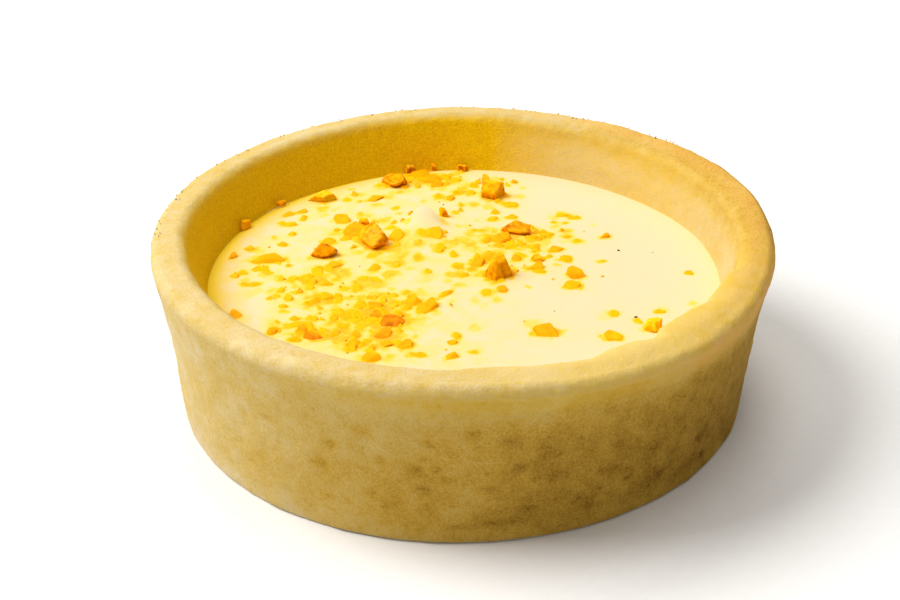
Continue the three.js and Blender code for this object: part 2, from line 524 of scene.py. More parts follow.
def pastry_masks(points, angles, outside, inside, pit):
    """How toasted and painted with shade each point of the pastry is, how golden and how orange, both partly
    painted light, and how floury, partly a painted highlight.
    """
    z = points[:, 2]
    radius = polar(points)[0]
    band = under_rim(z, 5.5, 1.5) * under_rim(z, 0.1, 0.8)
    painted_lit_crown = under_rim(z, 1.6, 0.8) * LIT_CROWN.at(angles)
    left = inside * PAINTED_SHADE_LEFT.at(angles)

    rim = rim_toast_and_shade(points, angles, inside, left)
    wall = wall_toast_and_shade(points, angles, band, pit)
    toast_and_shade = rim + (wall - rim) * outside * under_rim(z, 0.7, 2)

    # Partly painted light: gold brightens the inside wall, the band under the rim and its crown.
    gold_and_painted_light = inside * smoothstep(MOUTH_RADIUS + 0.6, MOUTH_RADIUS - 0.6, radius)
    gold_and_painted_light *= LEAST_GOLD + GOLDEN_BACK.at(angles) - 0.04 * left + GOLDEN_RIGHT.at(angles)
    gold_and_painted_light += outside * band * GOLDEN_FRONT.at(angles) + 0.34 * painted_lit_crown

    # Orange: the rim's own tone at the right, and painted light on the wall's band below it.
    warm_and_painted_light = WARM_RIM.at(angles) * under_rim(z, 2, 0.5) * smoothstep(RIM_RADIUS - 3.4, RIM_RADIUS - 2, radius)
    warm_and_painted_light += outside * band * PAINTED_LIGHT_WALL.at(angles)

    # Pale patches along the outer crest, partly flour and partly painted highlight, and the lit crown's
    # painted highlight.
    crest = smoothstep(RIM_RADIUS - 2.2, RIM_RADIUS - 1, radius) * under_rim(z, 1.3, 0.5)
    flour_and_painted_highlight = crest * FLOURED_AND_LIT.at(angles) * smoothstep(-0.1, 0.8, FLOUR_AND_HIGHLIGHT_PATCHES.at(points))
    flour_and_painted_highlight = np.maximum(flour_and_painted_highlight * outside, 0.35 * painted_lit_crown)
    return {"toast_and_shade": toast_and_shade, "gold_and_painted_light": gold_and_painted_light, "warm_and_painted_light": warm_and_painted_light, "flour_and_painted_highlight": flour_and_painted_highlight}


# ---- Cream ----

CREAM_SWELL = Waves(0.09, 9, 2, 51)
CREAM_RIPPLE = Waves(0.02, 2.4, 1, 61)
BLOT_RAGGED = Waves(0.4, 1.1, 2, 95)
HAZE_PATCHES = Waves(1, 2.4, 3, 99)
LEVEL_WAVES = (1, 1, 0)  # waves at points times this don't change with height


# A hump on the cream. Exponent 2 makes it a bell, and more makes its top broader
Hump = namedtuple("Hump", "x y height radius exponent")

PEAK = Hump(-4.3, 11.2, 1.7, 1.75, 2.5)
HUMPS = (
    Hump(-4.8, 5.5, 0.5, 7, 2),  # the mound under the peak
    PEAK,
    Hump(-4.5, 10.5, 0.75, 2.9, 2),  # the peak's foot
    Hump(-4.9, 7.4, 0.65, 2.4, 2),  # where the peak was drawn out to the front
)
FOLD = ((11, 1), (6.2, -3), (3.3, -5.8), (0.7, -7.3), (-2.6, -9.4))  # a soft fold in the cream
FOLD_HEIGHT = 0.2
FOLD_WIDTH = 1.1
BLOT_MARGIN = 0.15  # how far dissolved caramel has spread beyond its bit
HAZE = 0.2  # how much of it has spread all through the cream, at the most
SLOPE_STEP = 0.1  # between the places whose heights give the cream's slope
CREAM_EVENED = 0.75


def fold_height(x, y):
    """Height of the fold: a soft ridge along its line."""
    best = np.full(len(x), np.inf)
    for (x0, y0), (x1, y1) in zip(FOLD, FOLD[1:]):
        length = (x1 - x0) ** 2 + (y1 - y0) ** 2
        share = np.clip(((x - x0) * (x1 - x0) + (y - y0) * (y1 - y0)) / length, 0, 1)
        best = np.minimum(best, np.hypot(x - x0 - share * (x1 - x0), y - y0 - share * (y1 - y0)))
    return FOLD_HEIGHT * np.exp(-((best / FOLD_WIDTH) ** 2))


def cream_height(x, y):
    """Height of the cream's top surface, without its rolled-down edge."""
    flat = columns(x, y, np.zeros_like(x))
    height = CREAM_LEVEL + fold_height(x, y)
    height += CREAM_SWELL.at(flat) + CREAM_RIPPLE.at(flat)
    for hump in HUMPS:
        away = np.hypot(x - hump.x, y - hump.y) / hump.radius
        height += hump.height * np.exp(-(away**hump.exponent))
    return height


def melted_into(points, bits):
    """How much caramel has dissolved into the cream at each point: a ragged blot round each bit."""
    ragged = BLOT_RAGGED.at(points * LEVEL_WAVES)
    clear = np.ones(len(points))
    for bit in bits:
        long, wide = 0.5 * bit.long + BLOT_MARGIN, 0.5 * bit.wide + BLOT_MARGIN
        x, y = points[:, 0] - bit.x, points[:, 1] - bit.y
        near = (np.abs(x) < 3 * long) & (np.abs(y) < 3 * long)
        c, s = cos_sin(bit.turn)
        along = (x[near] * c + y[near] * s) / long
        across = (y[near] * c - x[near] * s) / wide
        away = np.hypot(along, across) + ragged[near]
        clear[near] *= 1 - bit.melted * (0.85 * smoothstep(1.25, 0.75, away) + 0.15 * np.exp(-(away**2) / 3))
    return 1 - clear


def haze(points):
    """How much caramel has spread through the cream, in soft patches at the left and in the middle."""
    x, y = points[:, :2].T
    patchy = smoothstep(-0.7, 0.5, HAZE_PATCHES.at(points * LEVEL_WAVES))
    from_peak = np.hypot(x - PEAK.x, y - PEAK.y)
    return HAZE * patchy * smoothstep(12, -4, x) * smoothstep(1.5, 5, from_peak)


def warm_light(points, from_edge):
    """How much yellow light the cream takes from the pastry, most of it at the left, and from its slopes."""
    x, y = points[:, :2].T
    left = smoothstep(5, -20, x)
    level = cream_height(x, y)
    rise = np.hypot(cream_height(x + SLOPE_STEP, y) - level, cream_height(x, y + SLOPE_STEP) - level)
    near_wall = 0.2 * np.exp(-from_edge / 1.3) + 1.1 * left * np.exp(-((from_edge / 1.8) ** 2))
    return near_wall + 0.08 * smoothstep(0.15, 1.2, rise / SLOPE_STEP)


def cream_filling(material, bits):
    edge = inside_radius(CREAM_LEVEL) + CREAM_IN_WALL
    bottom = CREAM_LEVEL - CREAM_DEPTH
    side = np.linspace(bottom, CREAM_LEVEL, 6, endpoint=False)
    top = np.linspace(edge, 0, round(edge / CREAM_STEP) + 1)
    outline = np.concatenate([
        line((0, bottom), (inside_radius(bottom), bottom), 3),
        columns(inside_radius(side) + CREAM_IN_WALL, side),
        columns(top, np.full(len(top), CREAM_LEVEL)),
    ])
    points, faces, rows = turned_surface(outline, CREAM_AROUND)
    points = uneven_rim(points)
    radius, angles = polar(points)
    points[:, :2] *= 1 + (WIDER_INSIDE.at(angles) * smoothstep(20, edge, radius))[:, None]
    on_top = rows >= len(outline) - len(top)
    from_edge = np.maximum(edge - CREAM_IN_WALL - radius, 0)
    lift = (cream_height(*points[:, :2].T) - CREAM_LEVEL) * smoothstep(0, 3, from_edge)
    lift -= CREAM_EDGE_DROP * np.exp(-from_edge / CREAM_EDGE_WIDTH)
    points[on_top, 2] += lift[on_top]
    made = new_object("custard_cream", points, faces, material)
    stain = 1 - (1 - melted_into(points, bits)) * (1 - haze(points))
    add_mask(made, "stain", stain * on_top)
    add_mask(made, "warm_light", warm_light(points, from_edge) * on_top)
    even_out(made, CREAM_EVENED)
    return made


# ---- Caramel ----


# A bit of caramel: its place, size and turn, how burnt and melted it is, its form and its tilt
Bit = namedtuple("Bit", "x y long wide high turn burnt melted form lean", defaults=(0.5, "slab", 0))

# The larger bits, one by one, as they lie: back half first, then the middle, then the front
SHARDS = [Bit(*row) for row in (
    (-6.4, 28.2, 1.3, 1, 1.1, 20, 0.9, 0.5, "chunk"), (-3.3, 28.6, 0.9, 0.7, 0.9, 60, 0.8, 0.5, "chunk"),
    (0.5, 28.2, 1.4, 1, 1, -15, 0.85, 0.5, "chunk"), (-5.1, 26.5, 2.7, 1.8, 0.8, 10, 0.4, 0.8),
    (-3.6, 24.8, 2.8, 2, 1, -20, 0.45, 0.8), (-2.8, 23.3, 1.9, 1.3, 0.9, 15, 0.5),
    (-1.6, 25.6, 1.9, 1.5, 0.6, -50, 0.25, 0.8), (-8.4, 23.6, 3.4, 2.1, 1.2, -12, 0.82, 0.9, "plate", 32),
    (3.6, 23.9, 1.9, 0.9, 1.2, 120, 0.35), (4.3, 19.6, 3.2, 2.6, 2, 5, 0.62, 0.8, "chunk", 14),
    (-17.3, 19.5, 3.7, 2, 1.3, -4, 0.4, 0.4, "chunk", 18), (-10.6, 19.5, 2.3, 1.5, 0.7, 30, 0.28, 0.4),
    (-0.3, 20.7, 1, 0.8, 0.6, 0, 0.35), (-1.2, 19.2, 1.5, 1.2, 0.7, 70, 0.35),
    (6.4, 16.8, 1.9, 1.3, 0.6, -15, 0.2, 0.8), (-22.4, 18.2, 1.1, 0.8, 0.7, 30, 0.7, 0.5, "chunk"),
    (-21.2, 15.2, 1.7, 0.8, 0.6, 25, 0.2), (-19.9, 15.8, 2, 0.7, 0.5, 12, 0.2),
    (-26.1, 12, 1.5, 1, 1.3, 50, 0.6, 0.5, "chunk"), (-20.9, 12.3, 1.9, 1, 0.6, 8, 0.15),
    (-14.5, 13.2, 2.5, 1.9, 0.9, -10, 0.32, 0.4), (-5.9, 14.3, 1, 0.8, 0.8, 30, 0.55),
    (-6.9, 11.6, 0.7, 0.6, 0.6, 60, 0.4), (-1.9, 13.7, 1.4, 1.1, 1.4, -50, 0.68, 0.5, "chunk"),
    (4.1, 12.8, 1.6, 1.2, 0.5, 20, 0.1), (6.3, 13.3, 1.8, 1, 0.5, 14, 0.2),
    (12.6, 13.9, 1.6, 1.1, 0.4, 0, 0.12, 0.9), (14.4, 13, 1, 0.9, 0.5, 0, 0.15),
    (-12.6, 9.7, 3.2, 3, 1.4, 20, 0.42, 0.8), (-11.6, 12, 1.5, 1, 1, -15, 0.72, 0.5, "chunk"),
    (-20.2, 9.5, 1.1, 0.9, 0.5, 30, 0.15), (-13.7, 8, 1.4, 1, 0.5, 0, 0.25),
    (-10.4, 6.4, 4.3, 3.2, 1.4, -42, 0.72, 0.9, "plate", 38), (-7.5, 6.9, 2.1, 2, 1.1, 25, 0.2),
    (-2.9, 7.4, 3.1, 2.3, 1, 52, 0.1, 0.2), (6.8, 9.2, 3.7, 1.8, 1.1, -6, 0.8, 0.8, "plate", 46),
    (4.9, 7.2, 2.7, 2.3, 1.2, 15, 0.4, 0.8), (8.5, 10.4, 1, 0.8, 0.6, 0, 0.3),
    (9.3, 9, 1.2, 0.8, 0.7, -40, 0.4), (8.7, 7.5, 1.3, 0.9, 0.6, 20, 0.25),
    (9.8, 7.6, 1.1, 0.8, 0.5, 60, 0.3), (12.8, 7.8, 0.9, 0.7, 0.4, 0, 0.2),
    (17.3, 7.6, 1.6, 1, 0.8, 35, 0.42), (-21.1, 6.8, 1.4, 0.9, 0.6, -20, 0.25),
    (-25, 5.9, 1.2, 0.9, 0.5, 0, 0.15), (-26.7, 3.8, 1.4, 0.9, 0.9, 60, 0.35),
    (-22.5, 2.7, 4.1, 1.3, 1.2, 10, 0.35, 0.8), (-15.9, 3.6, 3.3, 1.7, 1.2, 8, 0.8, 0.8, "plate", 30),
    (-14.7, 1, 2.3, 1.3, 0.7, 25, 0.3, 0.9), (11.2, 4.4, 2.1, 1.5, 0.7, 5, 0.3),
    (12.4, 1.9, 1.9, 1.4, 0.7, 105, 0.25), (8.9, 1.7, 1.5, 1.1, 1, 0, 0.45, 0.5, "chunk"),
    (8.5, -0.4, 2.3, 1.4, 0.9, -10, 0.42, 0.8), (4.4, -1.9, 3.5, 2.8, 3.2, 25, 0.7, 0.9, "spire", 8),
    (2, 0.8, 2.1, 1.7, 0.9, 20, 0.4, 0.8), (3.7, 2, 1.9, 1.5, 0.9, -10, 0.42),
    (0.3, -1.9, 1.4, 1, 0.5, 0, 0.25), (13.1, -2.2, 2.2, 2, 1.3, -8, 0.4),
    (12.6, -4.8, 1.9, 1.7, 0.8, 8, 0.12, 0.9), (16.4, 1.1, 1.1, 0.6, 0.3, 10, 0.12),
    (26, -2.2, 1.1, 0.7, 0.4, -5, 0.2), (-9.9, -0.1, 1.5, 1.3, 0.7, 0, 0.22),
    (-17.2, -3, 1.9, 1, 0.5, 0, 0.16), (-15.1, -3.3, 1.4, 0.9, 0.5, 0, 0.16),
    (-18.1, -5.2, 0.9, 0.7, 0.7, 30, 0.4), (-1.7, -6.2, 2.3, 0.9, 0.6, 50, 0.22),
    (-5.3, -8, 2.1, 1.6, 1.2, 60, 0.25, 0.7), (-3.6, -9.4, 2.5, 1.8, 1.2, 38, 0.32, 0.7),
    (-16.4, -7.6, 1.9, 1.3, 0.6, 30, 0.28, 0.9), (-15, -6.6, 1.7, 1, 0.6, 10, 0.25, 0.9),
    (-19.7, -8.6, 1, 0.8, 0.5, 0, 0.15), (-24.6, -10.4, 1.5, 1.1, 0.9, -50, 0.42),
    (-7.5, -12.5, 3, 2.6, 1, 10, 0.8, 1), (-8.9, -11, 2.1, 1.5, 0.8, -20, 0.66, 1),
    (-9.4, -8.9, 1.8, 1.2, 0.7, 0, 0.45, 1), (-8.2, -15, 2.2, 1.7, 0.8, 60, 0.6, 1),
    (-7.8, -17.2, 1.5, 1.1, 0.7, 0, 0.3, 0.8), (-20.3, -14.2, 1.5, 1.1, 0.9, 70, 0.4),
    (-17.1, -14, 1.6, 1.3, 0.8, 80, 0.62, 0.9), (-15.8, -15.4, 2.1, 1.2, 0.8, -10, 0.72, 0.9),
    (-17.7, -16, 1.3, 1, 0.6, 0, 0.35), (-13.6, -14.9, 1.9, 1, 0.6, 55, 0.25, 0.8),
    (-12.8, -13, 1.4, 0.9, 0.5, -20, 0.22, 0.8), (-11.4, -17, 1.5, 1.2, 0.8, -20, 0.38, 0.8),
    (-5.8, -17.6, 1.9, 1.3, 0.8, 50, 0.36, 0.8), (-4.4, -19.6, 1.6, 0.8, 0.4, -10, 0.2, 0.8),
    (-9.4, -20.2, 2.1, 1.5, 1, 0, 0.36, 0.7), (-0.9, -17.1, 1.1, 0.8, 0.6, 25, 0.25),
    (-1.1, -20, 1.6, 1, 0.8, 28, 0.36), (1.2, -19.1, 1, 0.6, 0.3, 0, 0.15),
    (9.1, -15, 3, 2.4, 1.2, -6, 0.42, 0.9), (16.1, -16.4, 2.2, 1.5, 0.8, -14, 0.22, 0.8),
    (20.4, -14.7, 2.1, 1.6, 1.3, -20, 0.4, 0.7, "chunk"), (21.8, -15.6, 1.4, 0.8, 0.4, 20, 0.15),
    (21.6, -11.1, 1.4, 0.7, 0.4, -10, 0.2), (23.8, -13.4, 1.2, 0.6, 0.4, 0, 0.18),
)]

# Where bits have melted away: only their colour is left in the cream
POOLS = [Bit(*row) for row in (
    (-8.3, -12.3, 3.8, 3.2, 0, 0, 0, 1), (-9.5, -9.8, 2.8, 2.2, 0, 30, 0, 0.9),
    (-8, -15.4, 2.6, 2.4, 0, 60, 0, 0.85), (-12.2, -15.2, 3.4, 1.6, 0, 40, 0, 0.8),
    (-16.3, -15.1, 3.4, 1.8, 0, -20, 0, 0.95), (-15.5, -7.2, 3.2, 2, 0, 25, 0, 0.75),
    (-4.4, 25.6, 5.5, 3.2, 0, 0, 0, 0.8),
)]


# A patch of small caramel: its middle, half width and half depth, and how many bits of each kind
Scatter = namedtuple("Scatter", "x y across deep chips flakes blots grains")

SCATTERS = [Scatter(*row) for row in (
    (-9.3, -10.6, 3.8, 3.4, 24, 26, 70, 12),  # the dense patch at the front left
    (-16.7, -13.7, 3.2, 2.4, 10, 10, 24, 5),
    (-9.9, -18, 3.6, 2.2, 6, 8, 16, 4),
    (-15.5, -4, 6, 4.5, 10, 18, 46, 10),
    (-22.5, 1, 3.2, 5, 5, 6, 8, 6),
    (-4, 24.5, 6, 2.4, 12, 12, 26, 8),
    (2.6, 20, 4, 4, 8, 6, 16, 5),
    (7.6, 6.5, 4, 3.4, 12, 8, 18, 6),
    (3.5, -0.5, 4.5, 4, 6, 6, 16, 4),
    (12.5, 10.5, 3.6, 3.6, 3, 4, 12, 3),
    (-8, 3, 9, 9, 10, 14, 56, 12),
    (-14, 15, 7, 5, 5, 6, 18, 6),
    (0, 0, 16, 16, 6, 8, 50, 12),
    (1.5, 8, 4.5, 4.5, 3, 4, 40, 5),
)]
SCATTER_EDGE = 27.6  # no small bit lies further out than this
PEAK_CLEAR = 2.1  # and none lies this near the peak


# A kind of small caramel: its length, its height as a share of that, and how burnt and melted it is
Kind = namedtuple("Kind", "long height burnt melted")

# The blots have dissolved: nothing is left of them but their colour in the cream
KINDS = {
    "chips": Kind((0.6, 1.7), 0.55, (0, 0.5), (0.3, 0.8)),
    "flakes": Kind((0.7, 2.2), 0.32, (0, 0.35), (0.5, 0.9)),
    "blots": Kind((0.5, 2.3), 0, (0, 0), (0.15, 0.75)),
    "grains": Kind((0.2, 0.5), 0.5, (0, 0.25), (0.05, 0.2)),
}


def scattered(rng, name):
    """Random bits of one kind in all the patches."""
    kind = KINDS[name]
    bits = []
    for patch in SCATTERS:
        count = getattr(patch, name)
        while count > 0:
            x, y = rng.normal((patch.x, patch.y), (patch.across / 1.5, patch.deep / 1.5))
            if math.hypot(x, y) > SCATTER_EDGE or math.hypot(x - PEAK.x, y - PEAK.y) < PEAK_CLEAR:
                continue
            count -= 1
            long = between(kind.long, rng.beta(1.3, 2.6))
            wide = long * rng.uniform(0.55, 1)
            turn = rng.normal(90, 45)
            burnt = between(kind.burnt, rng.beta(1.2, 2.2))
            melted = between(kind.melted, rng.beta(1.2, 1.8))
            bits.append(Bit(x, y, long, wide, long * kind.height, turn, burnt, melted))
    return bits


# How a form is broken: limits of its number of sides, of their lean in degrees, and of its height
Cut = namedtuple("Cut", "sides lean top")

CUTS = {
    "slab": Cut((4, 6), (5, 45), (0.5, 0.6)),
    "plate": Cut((5, 6), (-12, 14), (0.5, 0.6)),
    "chunk": Cut((4, 6), (-12, 28), (0.7, 0.95)),
    "spire": Cut((4, 5), (10, 34), (1.2, 1.3)),
    "crumb": Cut((4, 6), (-20, 40), (0.7, 1)),
}
TOP_SLOPE = 0.3  # the most that the top of a form slopes


# How bits are made and lie: fineness and crispness, share sunk, tilt in degrees, share wedged
Lay = namedtuple("Lay", "fineness crisp sunk tilt wedge")

LAYS = {
    "slabs": Lay(4, 11, 0.15, 4, 0.75),
    "chips": Lay(3, 8, 0.2, 6, 0.8),
    "flakes": Lay(3, 7, 0.25, 2, 0.85),
    "grains": Lay(2, 6, 0.25, 30, 0),
    "lumps": Lay(4, 26, 0.15, 5, 0.25),
}
CARAMEL_SEED = 101
EDGE_BURNT = 0.18  # how much darker the edges of a bit are
CARAMEL_EVENED = 0.7


def round_mesh(fineness):
    """Directions spread evenly about a point, and the faces between them."""
    form = bmesh.new()
    bmesh.ops.create_icosphere(form, subdivisions=fineness, radius=1)
    directions = np.array([vert.co[:] for vert in form.verts])
    faces = [tuple(vert.index for vert in face.verts) for face in form.faces]
    form.free()
    return directions, faces


def broken_form(rng, cut, mesh, crisp):
    """A broken bit one unit each way: its points and faces, and how near each point is to its outline."""
    directions, faces = mesh
    count = int(rng.integers(cut.sides[0], cut.sides[1] + 1))
    around = (np.arange(count) + rng.uniform(-0.3, 0.3, count)) * (2 * np.pi / count)
    around += rng.uniform(0, 2 * np.pi)
    lean = np.radians(rng.uniform(*cut.lean, count))
    sides = columns(np.cos(around) * np.cos(lean), np.sin(around) * np.cos(lean), np.sin(lean))
    top = np.array([*rng.uniform(-TOP_SLOPE, TOP_SLOPE, 2), 1])
    breaks = np.concatenate([sides, [top / np.linalg.norm(top), (0, 0, -1)]])
    away = np.concatenate([rng.uniform(0.7, 1.05, count), [rng.uniform(*cut.top), 0.5]])
    reach = np.maximum(directions @ breaks.T / away, 0)
    points = directions * ((reach**crisp).sum(axis=1) ** (-1 / crisp))[:, None]
    plan = points[:, :2] @ sides[:, :2].T
    edges = smoothstep(0.7, 1, (plan / plan.max(axis=0)).max(axis=1))
    low, high = points.min(axis=0), points.max(axis=0)
    return (points - (low + high) / 2) / (high - low), faces, edges


def turned(points, turn, tilt):
    """Points turned by an angle about Z, after a tilt about X."""
    c, s = cos_sin(turn)
    tilt_c, tilt_s = cos_sin(tilt)
    about_x = np.array([[1, 0, 0], [0, tilt_c, tilt_s], [0, -tilt_s, tilt_c]])
    about_z = np.array([[c, s, 0], [-s, c, 0], [0, 0, 1]])
    return points @ about_x @ about_z


def wedged(points, share):
    """Bits brought down at the front by a share of their height, as thin breaks lie on soft cream."""
    low, high = points.min(axis=0), points.max(axis=0)
    back = (points[:, 1] - low[1]) / (high[1] - low[1])
    shaped = points.copy()
    shaped[:, 2] = low[2] + (points[:, 2] - low[2]) * (1 - share * (1 - back))
    return shaped


def joined(name, parts, mask, material):
    """One mesh object from many small parts, each with its points, faces and mask values."""
    points, faces, values = [], [], []
    start = 0
    for part_points, part_faces, part_values in parts:
        points.append(part_points)
        faces += [tuple(start + corner for corner in face) for face in part_faces]
        values.append(part_values)
        start += len(part_points)
    made = new_object(name, np.concatenate(points), faces, material)
    add_mask(made, mask, np.concatenate(values))
    return made


def laid(rng, name, bits, material):
    """Bits of caramel that follow the cream, each with a broken form of its own, as one piece."""
    lay = LAYS[name]
    mesh = round_mesh(lay.fineness)
    parts = []
    for bit in bits:
        points, faces, edges = broken_form(rng, CUTS[bit.form], mesh, lay.crisp)
        sized = points * [bit.long, bit.wide, bit.high]
        tilted = turned(sized, bit.turn, bit.lean + rng.normal(0, lay.tilt))
        shaped = wedged(tilted, lay.wedge * rng.uniform(0.8, 1.1))
        low, high = shaped[:, 2].min(), shaped[:, 2].max()
        placed = shaped + [bit.x, bit.y, -low - lay.sunk * (high - low)]
        placed[:, 2] += cream_height(*placed[:, :2].T)
        parts.append((placed, faces, bit.burnt + EDGE_BURNT * edges))
    return joined("caramel_" + name, parts, "burnt", material)


def caramel(lump_material, thin_material):
    """All the caramel, as five pieces, and every bit of it."""
    rng = np.random.default_rng(CARAMEL_SEED)
    lumps = [bit for bit in SHARDS if bit.form != "slab"]
    slabs = [bit for bit in SHARDS if bit.form == "slab"]
    small = {name: scattered(rng, name) for name in KINDS}
    every_bit = [*SHARDS, *POOLS]
    for bits in small.values():
        every_bit += bits
    thin = [laid(rng, "slabs", slabs, thin_material)]
    thin += [laid(rng, name, small[name], thin_material) for name in ("chips", "flakes", "grains")]
    for piece in thin:
        even_out(piece, CARAMEL_EVENED)
    return [laid(rng, "lumps", lumps, lump_material), *thin], every_bit


# ---- Vanilla specks and crumbs of pastry ----

# Place and size of each speck
SPECKS = ((18.6, 3.9, 0.34), (18.9, -12.1, 0.38), (10.2, -10.5, 0.16), (-2, 17.4, 0.2), (22.5, 3.2, 0.14))
SPECK_SEED = 201
CRUMB_COUNT = 120
CRUMB_SIZES = (0.12, 0.42)
CRUMB_SECTOR = (30, 185)  # they lie on the back and left of the rim
CRUMB_SUNK = 0.05  # the share of a crumb's size that its middle lies below the rim's surface
CRUMB_SEED = 301


def crumb(rng):
    """A broken form for a speck or a crumb."""
    return broken_form(rng, CUTS["crumb"], round_mesh(2), 8)


def vanilla_specks(material):
    rng = np.random.default_rng(SPECK_SEED)
    parts = []
    for x, y, across in SPECKS:
        points, faces, edges = crumb(rng)
        level = cream_height(np.array([x]), np.array([y]))[0]
        placed = points * [across, across * 0.7, across * 0.6] + [x, y, level + across * 0.15]
        parts.append((placed, faces, rng.uniform(0.3, 0.7) + 0.3 * edges))
    return joined("vanilla_specks", parts, "dark", material)


def pastry_crumbs(material):
    rng = np.random.default_rng(CRUMB_SEED)
    parts = []
    for _ in range(CRUMB_COUNT):
        size = between(CRUMB_SIZES, rng.beta(1.2, 3))
        c, s = cos_sin(rng.uniform(*CRUMB_SECTOR))
        outwards, upwards = cos_sin(rng.uniform(25, 110))
        radius = RIM_RADIUS - RIM_ROUND_WIDE + (RIM_ROUND_WIDE - CRUMB_SUNK * size) * outwards
        height = HEIGHT - RIM_ROUND_TALL + (RIM_ROUND_TALL - CRUMB_SUNK * size) * upwards
        middle = uneven_rim(np.array([[radius * c, radius * s, height]]))
        points, faces, edges = crumb(rng)
        sized = turned(points * size * rng.uniform(0.6, 1, 3), rng.uniform(0, 360), rng.uniform(0, 90))
        parts.append((sized + middle, faces, rng.uniform(0, 0.15) + 0.05 * edges))
    return joined("pastry_crumbs", parts, "toast_and_shade", material)


# ---- Materials ----

SHADER_INPUTS = {
    "colour": "Base Color",
    "roughness": "Roughness",
    "specular": "Specular IOR Level",
    "normal": "Normal",
    "scatter": "Subsurface Weight",
    "scatter_radius": "Subsurface Radius",
    "scatter_scale": "Subsurface Scale",
}


class Graph:
    """Nodes of one material. A value given to it is a number, a colour or another node's output."""

    def __init__(self, name):
        self.material = bpy.data.materials.new(name)
        self.material.use_nodes = True
        self.nodes = self.material.node_tree.nodes
        self.links = self.material.node_tree.links
        self.shader = self.nodes["Principled BSDF"]
        self.place = self.nodes.new("ShaderNodeTexCoord").outputs["Object"]

    def feed(self, socket, value):
        if isinstance(value, bpy.types.NodeSocket):
            self.links.new(value, socket)
        else:
            socket.default_value = value

    def shaded(self, **values):
        """The material, once inputs of its shader are set by their names in SHADER_INPUTS."""
        for name, value in values.items():
            self.feed(self.shader.inputs[SHADER_INPUTS[name]], value)
        return self.material

    def node(self, kind, output, inputs, **settings):
        """An output of a new node, which gets its settings first and then its inputs."""
        made = self.nodes.new("ShaderNode" + kind)
        for name, value in settings.items():
            setattr(made, name, value)
        for name, value in inputs.items():
            self.feed(made.inputs[name], value)
        return made.outputs[output]

    def mask(self, name):
        return self.node("Attribute", "Fac", {}, attribute_name=name)

    def noise(self, feature, detail):
        """Noise from 0 to 1 with features of a size in millimetres, too fine for the node's own scale."""
        scale = 1 / (feature * MM)
        place = self.node("Mapping", "Vector", {"Vector": self.place, "Scale": (scale, scale, scale)})
        return self.node("TexNoise", "Fac", {"Vector": place, "Scale": 1, "Detail": detail})

    def dots(self, spacing, radius):
        """1 inside round dots, scattered a spacing apart in millimetres, and 0 between them."""
        away = self.node("TexVoronoi", "Distance", {"Vector": self.place, "Scale": 1 / (spacing * MM)})
        return self.spread(away, radius / spacing, 0.7 * radius / spacing)

    def sum(self, first, second, factor=1):
        """First plus factor times second."""
        return self.node("Math", "Value", {0: second, 1: factor, 2: first}, operation="MULTIPLY_ADD")

    def product(self, first, second):
        return self.node("Math", "Value", {0: first, 1: second}, operation="MULTIPLY")

    def spread(self, value, low, high, to_low=0, to_high=1):
        """A value's range from low to high, stretched to another range and held at its ends."""
        limits = {"From Min": low, "From Max": high, "To Min": to_low, "To Max": to_high}
        return self.node("MapRange", "Result", {"Value": value, **limits})

    def ramp(self, value, stops):
        """Colours blended along a value, from pairs of position and colour."""
        node = self.nodes.new("ShaderNodeValToRGB")
        elements = node.color_ramp.elements
        while len(elements) < len(stops):
            elements.new(0.5)
        for element, (position, colour) in zip(elements, stops):
            element.position = position
            element.color = (*colour, 1)
        self.feed(node.inputs["Fac"], value)
        return node.outputs["Color"]

    def mix(self, factor, first, second):
        """The first colour blended towards the second. Each is an output or a fixed colour."""
        ends = [(*end, 1) if isinstance(end, tuple) else end for end in (first, second)]
        return self.node("Mix", "Result", {"Factor": factor, "A": ends[0], "B": ends[1]}, data_type="RGBA")

    def bump(self, height, depth, below=None):
        """A bumped normal from a height of 0 to 1 that stands for a depth in millimetres."""
        inputs = {"Distance": depth * MM, "Height": height}
        if below is not None:
            inputs["Normal"] = below
        return self.node("Bump", "Normal", inputs)


# Colours from the palest to the brownest
CRUST_STOPS = (
    (0, (0.65, 0.53, 0.31)),
    (0.28, (0.61, 0.435, 0.13)),
    (0.55, (0.54, 0.325, 0.045)),
    (0.8, (0.34, 0.185, 0.02)),
    (1, (0.16, 0.07, 0.008)),
)
# Golds of the inside wall, brighter and more saturated than baked crust alone: partly painted light from the
# cream.
DEEP_GOLD = (0.72, 0.42, 0.0005)
BRIGHT_GOLD = (0.92, 0.60, 0.003)
# The rim's orange at the right, also painted light on the band under it.
WARM_CRUST = (0.98, 0.43, 0.15)
# Pale flour, also the colour of the painted highlight on the crest.
FLOUR_AND_PAINTED_HIGHLIGHT = (0.80, 0.72, 0.46)


